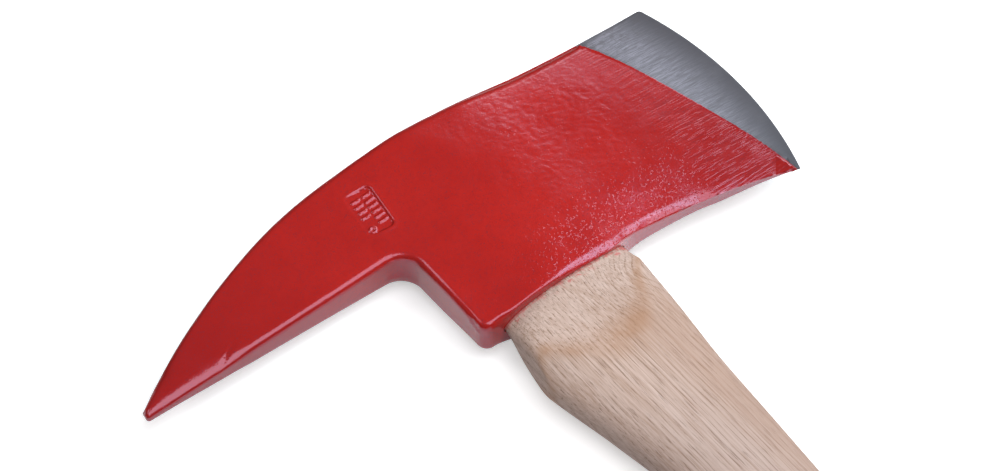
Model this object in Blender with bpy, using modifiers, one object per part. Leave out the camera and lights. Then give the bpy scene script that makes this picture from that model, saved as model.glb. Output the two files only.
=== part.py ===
"""Pick-head fire axe: forged steel head on a 36 in wooden handle, hung with a
hardwood wedge and two steel cross wedges.

Frame (metres): the axe lies on its cheek, +Z is the thickness and Z = 0 the
middle plane. +Y runs up the handle to the crown of the head, +X points to the
cutting edge and -X to the pick. The origin is the centre of the flat butt end.

Dimensions are in millimetres. Head coordinates have x = 0 on the eye's centre
line and y = 0 at the eye's mouth; world Y = y + MOUTH_Y.
"""

import math

import bmesh
import bpy
from mathutils import Vector
from mathutils.geometry import delaunay_2d_cdt, intersect_point_line

MM = 0.001

# ---------------------------------------------------------- shared dimensions
MOUTH_Y = 811.0  # butt end to y = 0 of the head
MOUTH_FACE = -3.5  # the lip of the eye stands this far below y = 0
CROWN_Y = 102.5  # height of the head over the eye
TENON_TOP_Y = 101.8  # tenon and wedges, trimmed just below the crown
FIT_GAP = 0.3  # clearance between neighbouring pieces

# eye: half width along x and half thickness along z
EYE_MOUTH = (33.8, 9.3)
EYE_CROWN = (35.6, 10.3)
EYE_CUT_Y = (-22.0, CROWN_Y + 12.0)  # the cutter overruns the head at both ends
EYE_SEGMENTS = 48

# --------------------------------------------------------------- head outline
# (x, y), clockwise from the pick's tip along the crown to the toe
CROWN_LINE = [
    (-177.4, 56.0), (-166.0, 63.4), (-143.0, 76.0), (-118.8, 86.6),
    (-93.0, 95.4), (-74.0, 99.9), (-56.0, 102.2), (-40.0, 103.0),
    (-22.0, 102.9), (0.0, 102.9), (26.0, 101.8), (52.0, 99.6),
    (75.0, 99.1), (90.0, 99.1), (110.0, 98.7), (126.8, 98.6),
]
# arc of the cutting edge, from the toe to the heel
BIT_CENTRE = Vector((-46.7, 47.2))
BIT_RADIUS = 180.9
BIT_STEPS = 16
# (x, y) from the heel along the blade's underside to the mouth
BEARD_LINE = [
    (122.6, -16.6), (109.1, -12.3), (96.0, -9.2), (82.5, -6.5),
    (72.7, -4.5), (64.0, -3.2), (55.2, -2.1), (47.6, -1.4),
    (42.0, -1.0), (38.0, -1.0), (35.0, -1.3), (32.0, -1.8),
    (28.5, -2.5), (24.5, -3.1), (20.0, -3.4), (15.0, MOUTH_FACE),
]
CURVE_SPACING = 7.0
# rounded corners: (corner, radius, arc steps, point spacing of the run before it)
CORNERS = [
    ((-44.8, MOUTH_FACE), 5.0, 5, 8.0),  # foot of the lug
    ((-45.0, 50.4), 10.5, 7, 8.0),  # notch between the lug and the pick
    ((-177.9, 52.0), 1.6, 3, 9.0),  # pick's tip
]

# ---------------------------------------------------------------- head cheeks
# half thickness: (x, through the middle, at the mouth)
CHEEK = [
    (-179.0, 3.0, 3.0),
    (-150.0, 4.7, 4.7),
    (-110.0, 6.5, 6.5),
    (-75.0, 8.2, 8.0),
    (-47.0, 9.9, 8.7),
    (-32.0, 11.4, 10.6),
    (-16.0, 13.2, 13.0),
    (0.0, 13.9, 13.9),
    (16.0, 13.2, 13.0),
    (30.0, 11.7, 10.4),
    (44.0, 9.8, 8.3),
    (58.0, 8.4, 7.5),
    (75.0, 7.0, 6.5),
    (95.0, 6.2, 5.7),
    (136.0, 5.6, 5.4),
]
MOUTH_BLEND = 26.0  # height over which the mouth section fades into the middle one
EDGE_HALF = 0.35  # half thickness of the cutting edge
GRIND_SLOPE = math.tan(math.radians(6.4))  # half the included angle of the bit
GRIND_BLEND = 0.5  # softens the line where the grind meets the cheek

# rounded cheek edge: (in-plane width, depth across the thickness)
ROUNDOVER = (3.2, 3.0)
CRISP = (0.5, 0.5)  # the same, along the mouth and the underside of the blade
ROUND_LIMIT = (0.9, 0.75)  # most it may take, as shares of the half thickness
CRISP_X = (-42.0, -28.0)  # the crisp edge fades in from the first to the second
CRISP_Y = (34.0, 18.0)

# lower edge: (x, its y, how far the cheek falls away there, over what height)
FALL = [
    (-44.0, MOUTH_FACE, 0.0, 3.0),
    (-40.0, MOUTH_FACE, 1.2, 2.6),
    (-37.0, MOUTH_FACE, 3.2, 3.6),
    (-34.0, MOUTH_FACE, 3.6, 4.2),
    (-30.0, MOUTH_FACE, 2.2, 3.6),
    (-26.0, MOUTH_FACE, 1.4, 3.2),
    (-18.0, MOUTH_FACE, 0.8, 3.2),
    (0.0, MOUTH_FACE, 0.6, 4.5),
    (10.0, MOUTH_FACE, 0.7, 5.5),
    (18.0, -3.4, 0.9, 6.5),
    (26.0, -2.9, 1.4, 8.0),
    (30.0, -2.2, 2.1, 9.0),
    (33.0, -1.6, 2.8, 10.0),
    (36.0, -1.1, 3.6, 11.0),
    (40.0, -1.0, 4.0, 13.0),
    (47.6, -1.4, 3.6, 15.0),
    (55.0, -2.1, 3.6, 16.0),
    (64.0, -3.2, 3.4, 16.0),
    (73.0, -4.5, 3.0, 15.0),
    (83.0, -6.6, 1.6, 18.0),
    (96.0, -9.2, 0.9, 14.0),
    (109.0, -12.3, 0.5, 7.0),
    (123.0, -16.7, 0.0, 3.0),
]
FALL_POWER = (1.3, 2.2)  # curve of the fall on the pick side and the blade side
FALL_POWER_X = (-26.0, -4.0)  # where it changes from one to the other
FALL_LIMIT = 0.8  # most it may take, as a share of the half thickness

# points that carry the cheek surface
RIM_DEPTHS = (0.35, 1.2, 2.6, 5.0)  # rows that follow the outline
RIM_KEEP = 0.96  # share of its depth a rim point must keep from the outline
GRID_SPACING = 9.0  # staggered grid over the rest
GRID_ROW_SCALE = 0.87
GRID_COLUMNS = range(-20, 16)
GRID_ROWS = range(-2, 14)
GRID_MARGIN = 8.0

# --------------------------------------------------------------------- handle
# (Y from the butt, back edge x, front edge x, half thickness, squareness)
HANDLE = [
    (0.0, -22.5, 22.5, 14.6, 2.25),
    (12.0, -22.8, 25.6, 15.4, 2.25),
    (28.0, -21.6, 27.4, 15.6, 2.2),
    (52.0, -18.8, 24.6, 14.6, 2.15),
    (85.0, -17.4, 19.6, 13.2, 2.1),
    (130.0, -18.2, 16.0, 12.4, 2.1),
    (200.0, -21.2, 12.8, 12.0, 2.1),
    (290.0, -24.8, 10.6, 11.8, 2.1),
    (390.0, -27.0, 9.8, 12.0, 2.15),
    (490.0, -27.2, 11.0, 12.4, 2.2),
    (580.0, -25.4, 15.2, 13.0, 2.25),
    (650.0, -25.6, 20.2, 13.6, 2.35),
    (704.0, -28.7, 24.9, 14.2, 2.5),
    (735.0, -33.6, 27.1, 14.5, 2.6),
    (769.5, -39.4, 30.6, 14.6, 2.6),
    (MOUTH_Y, -45.0, 35.0, 14.8, 2.5),
]
# Y of the rings of points, closer together at the butt and the shoulder
HANDLE_LEVELS = [
    0.0, 0.3, 1.0, 2.0, 3.0, 7.0,
    *range(12, 85, 8),
    *range(116, 669, 24),
    684.0, 700.0, 716.0, 730.0, 742.0, 752.0, 759.0, 764.0, 768.0, 772.0,
    777.0, 783.0, 789.0, 795.0, 800.0, 804.0, 806.2,
    MOUTH_Y + MOUTH_FACE + 0.01,  # foot of the tenon
    MOUTH_Y + 50.0,
    MOUTH_Y + TENON_TOP_Y,
]
HANDLE_SEGMENTS = 40
BUTT_ROUND = 3.0
AXIS_SHIFT = 12.0  # length over which the axis moves onto the eye's centre line
# tapered shoulder: growth per millimetre below the lip of the eye
SHOULDER_GROW = 0.145  # of the half thickness
SHOULDER_BACK = 0.148  # towards the pick
SHOULDER_FRONT = 0.035  # towards the blade
SHOULDER_SQUARE = 3.6  # added squareness of the shoulder's cut facets
SHOULDER_SQUARE_RUN = 22.0  # length over which that squareness is added
SHOULDER_BLEND = 0.6  # softens the line where the shoulder meets the handle

# --------------------------------------------------------------------- wedges
# Pairs are (at the tenon's top, at the foot).
KERF_DEPTH = 66.0
KERF_HALF_X = (60.0, 60.0)  # runs out through both sides of the tenon
KERF_HALF_Z = (2.6, 0.7)
KERF_OVERRUN = 6.0  # cutter above the tenon's top
WEDGE_DEPTH = 60.0
WEDGE_HALF_X = (34.2, 33.8)
WEDGE_HALF_Z = (KERF_HALF_Z[0] - FIT_GAP, 0.5)
CROSS_X = (-15.0, 15.0)
CROSS_DEPTH = 20.0
CROSS_HALF_X = (1.5, 0.4)
CROSS_HALF_Z = (6.8, 6.8)
CROSS_OVERRUN = 4.0

SHARP_ANGLE = math.radians(38)  # edges steeper than this are shaded sharp

# ------------------------------------------------------------ clear the scene
for leftover in list(bpy.data.objects):
    bpy.data.objects.remove(leftover, do_unlink=True)

axe = bpy.data.collections.new("fire_axe")
cutters = bpy.data.collections.new("cutters")
for group in (axe, cutters):
    bpy.context.scene.collection.children.link(group)


# -------------------------------------------------------------- scene helpers
def material(name, colour, roughness, metallic):
    mat = bpy.data.materials.new(name)
    mat.use_nodes = True
    shader = mat.node_tree.nodes["Principled BSDF"]
    shader.inputs["Base Color"].default_value = (*colour, 1.0)
    shader.inputs["Roughness"].default_value = roughness
    shader.inputs["Metallic"].default_value = metallic
    mat.diffuse_color = (*colour, 1.0)
    return mat


def new_object(name, bm, group, mat=None):
    """An object from a bmesh whose coordinates are in millimetres."""
    bmesh.ops.scale(bm, vec=Vector((MM, MM, MM)), verts=bm.verts)
    bmesh.ops.recalc_face_normals(bm, faces=bm.faces)
    mesh = bpy.data.meshes.new(name)
    bm.to_mesh(mesh)
    bm.free()
    obj = bpy.data.objects.new(name, mesh)
    group.objects.link(obj)
    if mat:
        mesh.materials.append(mat)
    return obj


def new_cutter(name, bm):
    cutter = new_object(name, bm, cutters)
    cutter.hide_render = True
    cutter.display_type = "WIRE"
    return cutter


def cut(obj, cutter):
    mod = obj.modifiers.new("cut_" + cutter.name, "BOOLEAN")
    mod.operation = "DIFFERENCE"
    mod.solver = "EXACT"
    mod.object = cutter


# ------------------------------------------------------------- curves, blends
def clamp(share):
    return min(1.0, max(0.0, share))


def mix(start, end, share):
    return start + (end - start) * share


def fade(value, start, end):
    """Smooth step from 0 where value is at start to 1 where it is at end."""
    share = clamp((value - start) / (end - start))
    return share * share * (3 - 2 * share)


def soft_min(first, second, width):
    """The smaller of two values, blended over a width where they meet."""
    share = clamp(0.5 + 0.5 * (second - first) / width)
    return mix(second, first, share) - width * share * (1 - share)


def round_drop(distance, width, depth):
    """How far a quarter-round edge drops at a distance in from its rim."""
    if distance >= width:
        return 0.0
    share = 1 - distance / width
    return depth * (1 - math.sqrt(1 - share * share))


def hermite(start, start_pull, end, end_pull, t):
    """Cubic from start to end; the pulls are its tangents over the whole step."""
    return (
        start * (2 * t**3 - 3 * t**2 + 1)
        + start_pull * (t**3 - 2 * t**2 + t)
        + end * (3 * t**2 - 2 * t**3)
        + end_pull * (t**3 - t**2)
    )


def curve_value(xs, ys, at):
    """Value at a place on a smooth curve that never overshoots its points."""
    if at <= xs[0]:
        return ys[0]
    if at >= xs[-1]:
        return ys[-1]
    slopes = [(ys[k + 1] - ys[k]) / (xs[k + 1] - xs[k]) for k in range(len(xs) - 1)]

    def tangent(k):
        if k == 0:
            return slopes[0]
        if k == len(slopes):
            return slopes[-1]
        before, after = slopes[k - 1], slopes[k]
        return 0.0 if before * after <= 0 else 2 * before * after / (before + after)

    i = max(k for k in range(len(slopes)) if xs[k] <= at)
    step = xs[i + 1] - xs[i]
    share = (at - xs[i]) / step
    return hermite(ys[i], tangent(i) * step, ys[i + 1], tangent(i + 1) * step, share)


def station(table, at):
    """Every column of a table, interpolated at a value of its first column."""
    xs, *columns = zip(*table)
    return [curve_value(xs, column, at) for column in columns]


def spline(points, spacing):
    """Points along a centripetal curve through the given ones, about evenly spaced."""
    knots = [Vector(p) for p in points]
    knots = [2 * knots[0] - knots[1], *knots, 2 * knots[-1] - knots[-2]]
    out = []
    for before, start, end, after in zip(knots, knots[1:], knots[2:], knots[3:]):
        count = max(1, round((end - start).length / spacing))
        span_in = (start - before).length ** 0.5
        span = (end - start).length ** 0.5
        span_out = (after - end).length ** 0.5
        start_pull = (
            (start - before) / span_in
            - (end - before) / (span_in + span)
            + (end - start) / span
        ) * span
        end_pull = (
            (end - start) / span
            - (after - start) / (span + span_out)
            + (after - end) / span_out
        ) * span
        out += [hermite(start, start_pull, end, end_pull, k / count) for k in range(count)]
    out.append(Vector(points[-1]))
    return out


def fillet(before, corner, after, radius, steps):
    """Arc that rounds a corner between two straight runs."""
    before, corner, after = Vector(before), Vector(corner), Vector(after)
    back, ahead = (before - corner).normalized(), (after - corner).normalized()
    half_angle = back.angle(ahead) / 2
    start = corner + back * radius / math.tan(half_angle)
    finish = corner + ahead * radius / math.tan(half_angle)
    centre = corner + (back + ahead).normalized() * radius / math.sin(half_angle)
    first, last = start - centre, finish - centre
    sweep = first.angle(last)
    return [
        centre
        + (first * math.sin(sweep * (1 - k / steps)) + last * math.sin(sweep * k / steps))
        / math.sin(sweep)
        for k in range(steps + 1)
    ]


def run(start, end, spacing):
    """Inner points of a straight run."""
    count = max(1, round((end - start).length / spacing))
    return [start.lerp(end, k / count) for k in range(1, count)]


# ------------------------------------------------------------------- axe head
def bit_angle(point):
    return math.atan2(point[1] - BIT_CENTRE.y, point[0] - BIT_CENTRE.x)


def head_outline():
    """The head's outline, clockwise, as one closed run of points."""
    points = spline(CROWN_LINE, CURVE_SPACING)
    toe, heel = points[-1], Vector(BEARD_LINE[0])
    start, finish = bit_angle(toe), bit_angle(heel)
    for k in range(1, BIT_STEPS):
        angle = start + (finish - start) * k / BIT_STEPS
        ray = Vector((math.cos(angle), math.sin(angle)))
        points.append(BIT_CENTRE + ray * BIT_RADIUS)
    points += spline(BEARD_LINE, CURVE_SPACING)
    stops = [BEARD_LINE[-1], *(row[0] for row in CORNERS), CROWN_LINE[0]]
    for k, (corner, radius, steps, spacing) in enumerate(CORNERS):
        arc = fillet(stops[k], corner, stops[k + 2], radius, steps)
        points += run(points[-1], arc[0], spacing) + arc
    return points


def sides(outline):
    return zip(outline, outline[1:] + outline[:1])


def edge_distance(point, outline):
    best = math.inf
    for start, end in sides(outline):
        near, share = intersect_point_line(point, start, end)
        if share < 0:
            near = start
        elif share > 1:
            near = end
        best = min(best, (point - near.to_2d()).length)
    return best


def inside(point, outline):
    hit = False
    for a, b in sides(outline):
        if (a.y > point.y) != (b.y > point.y):
            if point.x < a.x + (point.y - a.y) / (b.y - a.y) * (b.x - a.x):
                hit = not hit
    return hit


def half_thickness(x, y):
    """Half thickness of the head before its edges are rounded."""
    middle, mouth = station(CHEEK, x)
    cheek = mix(mouth, middle, fade(y, 0.0, MOUTH_BLEND))
    to_edge = BIT_RADIUS - math.hypot(x - BIT_CENTRE.x, y - BIT_CENTRE.y)
    grind = EDGE_HALF + GRIND_SLOPE * max(0.0, to_edge)
    return soft_min(cheek, grind, GRIND_BLEND)


def cheek_z(x, y, distance):
    """Height of the cheek above the middle plane, with its rounded edge."""
    height = half_thickness(x, y)
    low, fall, fall_height = station(FALL, x)
    share = clamp((y - low) / fall_height)
    power = mix(*FALL_POWER, fade(x, *FALL_POWER_X))
    height -= min(fall, FALL_LIMIT * height) * (1 - share) ** power
    crisp = fade(x, *CRISP_X) * fade(y, *CRISP_Y)
    width, depth = (
        min(mix(soft, sharp, crisp), limit * height)
        for soft, sharp, limit in zip(ROUNDOVER, CRISP, ROUND_LIMIT)
    )
    return height - round_drop(distance, width, depth)


def cheek_points(outline):
    """The outline, rows of points that follow it, and a grid over the rest."""
    points = list(outline)
    count = len(outline)
    for depth in RIM_DEPTHS:
        for k, here in enumerate(outline):
            along = (outline[(k + 1) % count] - outline[k - 1]).normalized()
            inner = here + Vector((along.y, -along.x)) * depth
            if inside(inner, outline) and edge_distance(inner, outline) > RIM_KEEP * depth:
                points.append(inner)
    for i in GRID_COLUMNS:
        for j in GRID_ROWS:
            x = (i + 0.5 * (j % 2)) * GRID_SPACING
            p = Vector((x, j * GRID_SPACING * GRID_ROW_SCALE))
            if inside(p, outline) and edge_distance(p, outline) > GRID_MARGIN:
                points.append(p)
    return points


def make_eye_cutter():
    """Tapered oval, running through from the mouth to the crown."""
    bm = bmesh.new()
    bmesh.ops.create_cone(
        bm, cap_ends=True, segments=EYE_SEGMENTS, radius1=1.0, radius2=1.0, depth=2.0
    )
    for v in bm.verts:
        y = EYE_CUT_Y[1] if v.co.z > 0 else EYE_CUT_Y[0]
        wide, thick = eye_half(y)
        v.co = Vector((v.co.x * wide, MOUTH_Y + y, -v.co.y * thick))
    return new_cutter("eye_cutter", bm)


def make_head(mat):
    outline = head_outline()
    count = len(outline)
    rim = [(k, (k + 1) % count) for k in range(count)]
    # output type 1 keeps only the faces inside the outline
    flat, _, faces, _, _, _ = delaunay_2d_cdt(
        cheek_points(outline), rim, [list(range(count))], 1, 1e-4
    )
    bm = bmesh.new()
    for p in flat:
        bm.verts.new((p.x, p.y, cheek_z(p.x, p.y, edge_distance(p, outline))))
    bm.verts.ensure_lookup_table()
    for face in faces:
        bm.faces.new([bm.verts[k] for k in face])
    # the edge faces go straight down to the middle plane, where Mirror joins
    border = [e for e in bm.edges if e.is_boundary]
    for part in bmesh.ops.extrude_edge_only(bm, edges=border)["geom"]:
        if isinstance(part, bmesh.types.BMVert):
            part.co.z = 0.0
    bmesh.ops.translate(bm, vec=Vector((0, MOUTH_Y, 0)), verts=bm.verts)
    head = new_object("axe_head", bm, axe, mat)
    mirror = head.modifiers.new("other_cheek", "MIRROR")
    mirror.use_axis = (False, False, True)
    mirror.merge_threshold = 0.00002
    cut(head, make_eye_cutter())
    return head


# --------------------------------------------------------------------- handle
def eye_half(y, gap=0.0):
    """Half width and half thickness of the eye at a head y, less a gap."""
    share = y / CROWN_Y
    return [mix(mouth, crown, share) - gap for mouth, crown in zip(EYE_MOUTH, EYE_CROWN)]


def oval_reach(direction, back, front, thick, power):
    """Distance from the axis to a squared-off oval along a direction (x, z)."""
    wide = front if direction[0] > 0 else -back
    reach = (abs(direction[0]) / wide) ** power + (abs(direction[1]) / thick) ** power
    return reach ** (-1.0 / power)


def handle_point(y, angle):
    """Point (x, z) of the handle's surface at world y."""
    above = y - MOUTH_Y - MOUTH_FACE
    if above >= 0:
        wide, thick = eye_half(y - MOUTH_Y, FIT_GAP)
        return wide * math.cos(angle), thick * math.sin(angle)
    back, front, thick, power = station(HANDLE, y)
    axis, half = (back + front) / 2, (front - back) / 2
    axis *= fade(above, 0.0, -AXIS_SHIFT)  # the tenon is centred on the eye
    aim = (half * math.cos(angle), thick * math.sin(angle))
    length = math.hypot(*aim)
    aim = (aim[0] / length, aim[1] / length)
    body = oval_reach(aim, back - axis, front - axis, thick, power)
    wide, thin = eye_half(MOUTH_FACE, FIT_GAP)
    shoulder = oval_reach(
        aim,
        back=-wide + SHOULDER_BACK * above - axis,
        front=wide - SHOULDER_FRONT * above - axis,
        thick=thin - SHOULDER_GROW * above,
        power=2.0 + SHOULDER_SQUARE * fade(above, 0.0, -SHOULDER_SQUARE_RUN),
    )
    reach = soft_min(body, shoulder, SHOULDER_BLEND)
    reach -= round_drop(y, BUTT_ROUND, BUTT_ROUND)
    return axis + aim[0] * reach, aim[1] * reach


def make_handle(mat):
    bm = bmesh.new()
    rings = []
    for y in HANDLE_LEVELS:
        ring = []
        for k in range(HANDLE_SEGMENTS):
            x, z = handle_point(y, 2 * math.pi * (k + 0.5) / HANDLE_SEGMENTS)
            ring.append(bm.verts.new((x, y, z)))
        rings.append(ring)
    for low, high in zip(rings, rings[1:]):
        for k in range(HANDLE_SEGMENTS):
            n = (k + 1) % HANDLE_SEGMENTS
            bm.faces.new((low[k], low[n], high[n], high[k]))
    bm.faces.new(rings[0])
    bm.faces.new(rings[-1])
    return new_object("handle", bm, axe, mat)


# --------------------------------------------------------------------- wedges
def tapered_block(x, half_x, half_z, depth, gap=0.0, overrun=0.0):
    """Block from the tenon's top down, its taper carried on above by overrun.

    The gap is added to its sides and foot.
    """
    bm = bmesh.new()
    bmesh.ops.create_cube(bm, size=2.0)
    for v in bm.verts:
        share = -overrun / depth if v.co.y > 0 else 1.0 + gap / depth
        wide = mix(*half_x, share) + gap
        thick = mix(*half_z, share) + gap
        y = MOUTH_Y + TENON_TOP_Y - share * depth
        v.co = Vector((x + v.co.x * wide, y, v.co.z * thick))
    return bm


def make_wooden_wedge(handle, mat):
    """Wedge along the eye's width, in a kerf sawn down the tenon."""
    kerf = tapered_block(0.0, KERF_HALF_X, KERF_HALF_Z, KERF_DEPTH, overrun=KERF_OVERRUN)
    cut(handle, new_cutter("kerf_cutter", kerf))
    block = tapered_block(0.0, WEDGE_HALF_X, WEDGE_HALF_Z, WEDGE_DEPTH)
    return new_object("wooden_wedge", block, axe, mat)


def make_steel_wedges(handle, wooden_wedge, mat):
    """Two wedges across the wooden one, in pockets cut through it and the tenon."""
    for number, x in enumerate(CROSS_X, start=1):
        size = (x, CROSS_HALF_X, CROSS_HALF_Z, CROSS_DEPTH)
        block = tapered_block(*size, gap=FIT_GAP, overrun=CROSS_OVERRUN)
        pocket = new_cutter(f"cross_pocket_{number}", block)
        cut(handle, pocket)
        cut(wooden_wedge, pocket)
        new_object(f"steel_wedge_{number}", tapered_block(*size), axe, mat)


# ------------------------------------------------------------------ the model
red_paint = material(
    "red_enamel", colour=(0.50, 0.018, 0.016), roughness=0.28, metallic=0.0
)
ash = material(
    "bare_handle_wood", colour=(0.62, 0.45, 0.32), roughness=0.62, metallic=0.0
)
wedge_wood = material(
    "wedge_hardwood", colour=(0.48, 0.31, 0.18), roughness=0.65, metallic=0.0
)
wedge_steel = material(
    "wedge_steel", colour=(0.34, 0.34, 0.35), roughness=0.42, metallic=1.0
)

axe_head = make_head(red_paint)
shaft = make_handle(ash)
hardwood_wedge = make_wooden_wedge(shaft, wedge_wood)
make_steel_wedges(shaft, hardwood_wedge, wedge_steel)

for obj in (axe_head, shaft):
    obj.data.shade_smooth()
    obj.data.set_sharp_from_angle(angle=SHARP_ANGLE)
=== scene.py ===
"""Looks of a pick-head fire axe, lying flat on a pale floor.

The blade points to +X and the pick to -X. The handle runs along Y from its butt at
y = 0. Z is the thickness, centred on 0. Sizes are millimetres unless noted.
Head coordinates have x = 0 on the eye's centre line and y = 0 at the eye's mouth,
the end where the handle enters; MOUTH_Y is the world y of that mouth.
"""

import math

import bmesh
import bpy
import numpy as np
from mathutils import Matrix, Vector
from mathutils.geometry import delaunay_2d_cdt


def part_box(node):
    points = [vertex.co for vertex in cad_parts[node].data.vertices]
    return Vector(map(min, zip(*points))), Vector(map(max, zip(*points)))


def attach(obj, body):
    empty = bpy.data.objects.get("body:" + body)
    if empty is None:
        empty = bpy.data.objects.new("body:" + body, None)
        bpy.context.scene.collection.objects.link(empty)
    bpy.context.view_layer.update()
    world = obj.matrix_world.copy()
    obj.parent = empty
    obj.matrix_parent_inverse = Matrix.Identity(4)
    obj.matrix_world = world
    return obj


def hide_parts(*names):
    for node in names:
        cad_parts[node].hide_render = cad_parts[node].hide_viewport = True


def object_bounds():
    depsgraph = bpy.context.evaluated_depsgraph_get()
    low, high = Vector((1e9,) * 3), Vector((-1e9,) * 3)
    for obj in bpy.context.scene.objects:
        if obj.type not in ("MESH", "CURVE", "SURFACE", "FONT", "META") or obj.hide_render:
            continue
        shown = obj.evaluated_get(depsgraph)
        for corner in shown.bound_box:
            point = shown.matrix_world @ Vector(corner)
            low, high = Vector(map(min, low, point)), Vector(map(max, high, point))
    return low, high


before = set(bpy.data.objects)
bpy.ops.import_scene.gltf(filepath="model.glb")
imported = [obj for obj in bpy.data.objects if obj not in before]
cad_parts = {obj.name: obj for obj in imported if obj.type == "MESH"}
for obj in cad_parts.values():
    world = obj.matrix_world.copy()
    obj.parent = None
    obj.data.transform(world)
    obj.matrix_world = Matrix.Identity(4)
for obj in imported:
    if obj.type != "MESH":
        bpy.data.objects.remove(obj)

MM = 0.001
cad_lo, cad_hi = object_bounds()
head_lo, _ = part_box("axe_head")
FLOOR_Z = min(cad_lo.z, head_lo.z) - 0.0002  # metres

# --------------------------------------------------------------- head outline
HEEL = (122.6, -16.6)  # lowest point of the head
MOUTH_Y = head_lo.y / MM - HEEL[1]
CROWN_Y = 102.5
# x, y from the pick to the blade's toe
CROWN_LINE = [
    (-177.4, 56.0), (-166.0, 63.4), (-143.0, 76.0), (-118.8, 86.6),
    (-93.0, 95.4), (-74.0, 99.9), (-56.0, 102.2), (-40.0, 103.0),
    (-22.0, 102.9), (0.0, 102.9), (26.0, 101.8), (52.0, 99.6),
    (75.0, 99.1), (90.0, 99.1), (110.0, 98.7), (126.8, 98.6),
]
TOE_R = 2.2
BIT_CENTRE = (-46.7, 47.2)
BIT_RADIUS = 180.9
MOUTH_FACE = -3.5  # y of the flat rim round the eye's mouth
# x, y from the heel to the mouth
BEARD_LINE = [
    HEEL, (109.1, -12.3), (96.0, -9.2), (82.5, -6.5),
    (72.7, -4.5), (64.0, -3.2), (55.2, -2.1), (47.6, -1.4),
    (42.0, -1.0), (38.0, -1.0), (35.0, -1.3), (32.0, -1.8),
    (28.5, -2.5), (24.5, -3.1), (20.0, -3.4), (15.0, MOUTH_FACE),
]
LUG_FOOT = (-44.8, MOUTH_FACE)
LUG_CORNER_R = 5.0
PICK_ROOT = (-45.0, 50.4)
NOTCH_R = 10.5
PICK_TIP = (-177.9, 52.0)
PICK_TIP_R = 1.6

# ----------------------------------------------------------- head thickness
# x, half thickness in the middle, half thickness at the mouth
CHEEK = [
    (-179.0, 3.0, 3.0), (-150.0, 4.7, 4.7), (-110.0, 6.5, 6.5),
    (-75.0, 8.2, 8.0), (-47.0, 9.9, 8.7), (-32.0, 11.4, 10.6),
    (-16.0, 13.2, 13.0), (0.0, 13.9, 13.9), (16.0, 13.2, 13.0),
    (30.0, 11.7, 10.4), (44.0, 9.8, 8.3), (58.0, 8.4, 7.5),
    (75.0, 7.0, 6.5), (95.0, 6.2, 5.7), (136.0, 5.6, 5.4),
]
MOUTH_BLEND = 26.0
EDGE_HALF = 0.35
GRIND_SLOPE = math.tan(math.radians(6.4))
# how the cheek thins towards its lower rim:
# x, rim y, depth of the steep lip, height of the lip, depth of the slow thinning
FALL = [
    (-44.0, -3.5, 0.0, 3.0, 0.0), (-40.0, -3.5, 0.4, 1.2, 0.0),
    (-37.0, -3.5, 1.2, 1.7, 0.0), (-34.0, -3.5, 1.2, 1.7, 0.0),
    (-30.0, -3.5, 0.6, 1.2, 0.0), (-24.0, -3.5, 0.3, 1.0, 0.0),
    (-8.0, -3.5, 0.3, 1.4, 0.1), (0.0, -3.5, 0.7, 2.6, 0.2),
    (10.0, -3.5, 1.0, 3.6, 0.9), (18.0, -3.4, 1.0, 4.0, 1.4),
    (26.0, -2.9, 0.9, 4.0, 1.7), (30.0, -2.2, 0.9, 4.0, 1.85),
    (33.0, -1.6, 0.9, 4.0, 1.95), (36.0, -1.1, 0.9, 4.0, 2.1),
    (40.0, -1.0, 0.95, 4.0, 2.2), (47.6, -1.4, 1.2, 4.0, 2.4),
    (55.0, -2.1, 1.1, 4.0, 2.5), (64.0, -3.2, 0.9, 4.0, 2.5),
    (73.0, -4.5, 0.5, 5.0, 2.5), (83.0, -6.6, 0.3, 6.0, 1.3),
    (96.0, -9.2, 0.2, 6.0, 0.7), (109.0, -12.3, 0.1, 6.0, 0.4),
]
FALL_POWER = 1.3
SLOW_HEIGHT = 30.0
SLOW_POWER = 1.15
# edge rounding, in from the rim and down in z; CRISP replaces both near the mouth
ROUNDOVER = 3.2
ROUNDOVER_Z = 3.0
CRISP = 0.5
PICK_EXTRA_ROUND = 5.0
CROWN_EXTRA_ROUND = 2.2

# stamped panel on the pick side of the cheek, in its own tilted across and up axes
PANEL_C = np.array((-45.0, 76.5))
PANEL_TILT = math.radians(-7.8)
PANEL_HALF = (6.6, 12.3)
PANEL_CORNER_R = 2.6
RIB_TURN = math.radians(8)
# half length, then each rib's across, up
PANEL_RIBS = [
    (1.8, [(3.0, 8.4), (3.1, 5.3), (3.0, 2.2), (3.1, -0.9), (3.0, -4.0), (3.1, -7.1)]),
    (1.5, [(-2.6, 7.6), (-2.7, 4.4), (-2.6, 1.2), (-2.7, -2.0)]),
]

# runs and flaws in the enamel: x, y, z, radius, height
FLAWS = [
    (-45.0, 4.6, 6.6, 1.1, -0.75), (-45.0, 1.9, 6.0, 1.0, -0.85),
    (-45.0, 0.3, 5.4, 0.9, -0.6), (-45.2, 5.6, 4.6, 1.5, 0.35),
    (-45.2, 1.4, 3.6, 1.4, 0.35), (-53.0, 50.9, -4.0, 1.3, 0.7),
    (-50.4, 49.4, -4.4, 1.5, 0.8), (-47.6, 46.4, -4.6, 1.2, 0.5),
]
# the enamel ends here: polynomial for x in y / 100, highest power first
PAINT_LINE = (-32.2, 51.6, -32.1, -18.5, 119.3)

OUTLINE_STEP = 1.5
RING_DEPTHS = (0.12, 0.3, 0.55, 0.9, 1.35, 1.9, 2.6, 3.4, 4.5)
GRID_INSET = 5.1
PANEL_STEP = 0.42
WALL_ROWS = 10
# half width along x and half thickness of the oval eye
EYE_MOUTH = (33.8, 9.3)
EYE_CROWN = (35.6, 10.3)
EYE_AROUND = 120
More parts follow.
